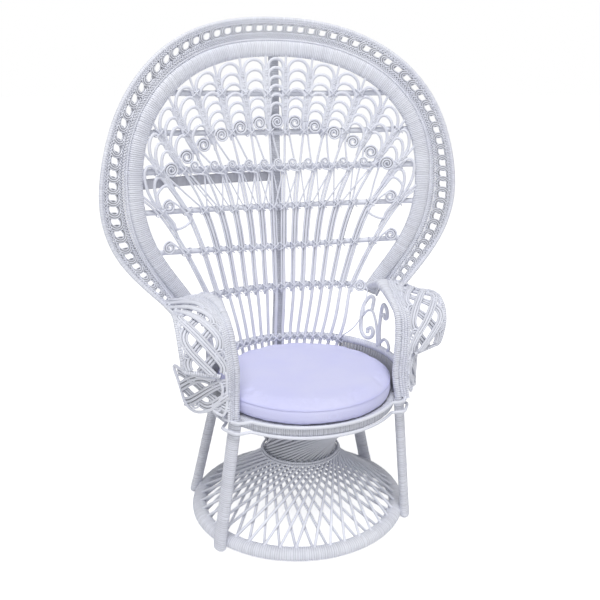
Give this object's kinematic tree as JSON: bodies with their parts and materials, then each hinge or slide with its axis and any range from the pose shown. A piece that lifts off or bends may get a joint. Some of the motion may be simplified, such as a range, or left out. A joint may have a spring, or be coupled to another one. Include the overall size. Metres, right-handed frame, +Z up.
{
  "type": "peacock chair",
  "caption": "Woven rattan peacock chair with a tall fanned back, lace border, woven arm cuffs, a waisted lattice pedestal with outer legs, and a loose round seat cushion.",
  "frame": {"origin": "on the floor, under the middle of the chair's box", "axes": "+Z up, -Y toward the front, +X to the right as seen from the front"},
  "size_m": [1.0606, 0.6396, 1.4871],
  "materials": {
    "rattan": "white paint, satin",
    "shaded_rattan": "white paint, dull",
    "cushion_cloth": "plain weave"
  },
  "bodies": {
    "frame": {"floor_hoop": "rattan", "seat_hoop": "rattan", "pedestal_rods_outer_left": "rattan", "pedestal_rods_outer_right": "rattan", "pedestal_rods_inner_left": "rattan", "pedestal_rods_inner_right": "rattan", "waist_hoop": "rattan", "leg_front_left": "rattan", "leg_rear_left": "rattan", "leg_front_right": "rattan", "leg_rear_right": "rattan", "seat_cord_upper": "rattan", "seat_cord_lower": "rattan", "seat_deck": "shaded_rattan", "main_hoop": "rattan", "hoop_trim": "rattan", "outer_rim": "rattan", "lace_upper_left": "rattan", "lace_lower_left": "rattan", "lace_upper_right": "rattan", "lace_lower_right": "rattan", "rail_1": "rattan", "rail_2": "rattan", "rail_3": "rattan", "rail_4": "rattan", "rail_5": "rattan", "rail_6": "rattan", "rail_7": "rattan", "rib_left_1": "rattan", "rib_left_2": "rattan", "rib_left_3": "rattan", "rib_left_4": "rattan", "rib_left_5": "rattan", "rib_left_6": "rattan", "rib_left_7": "rattan", "rib_left_8": "rattan", "rib_right_1": "rattan", "rib_right_2": "rattan", "rib_right_3": "rattan", "rib_right_4": "rattan", "rib_right_5": "rattan", "rib_right_6": "rattan", "rib_right_7": "rattan", "rib_right_8": "rattan", "back_post": "shaded_rattan", "back_brace": "shaded_rattan", "arm_bow_left": "rattan", "arm_trim_left": "rattan", "cuff_left": "rattan", "cuff_rim_left": "rattan", "skirt_left": "rattan", "arm_scroll_left": "rattan", "arm_bow_right": "rattan", "arm_trim_right": "rattan", "cuff_right": "rattan", "cuff_rim_right": "rattan", "skirt_right": "rattan", "arm_scroll_right": "rattan"},
    "loose_cushion": {"cushion": "cushion_cloth"}
  },
  "joints": [
    {"name": "cushion_lift", "type": "slide", "parent": "frame", "child": "loose_cushion", "axis": [0, 0, 1], "range_m": [0, 0.08]}
  ]
}
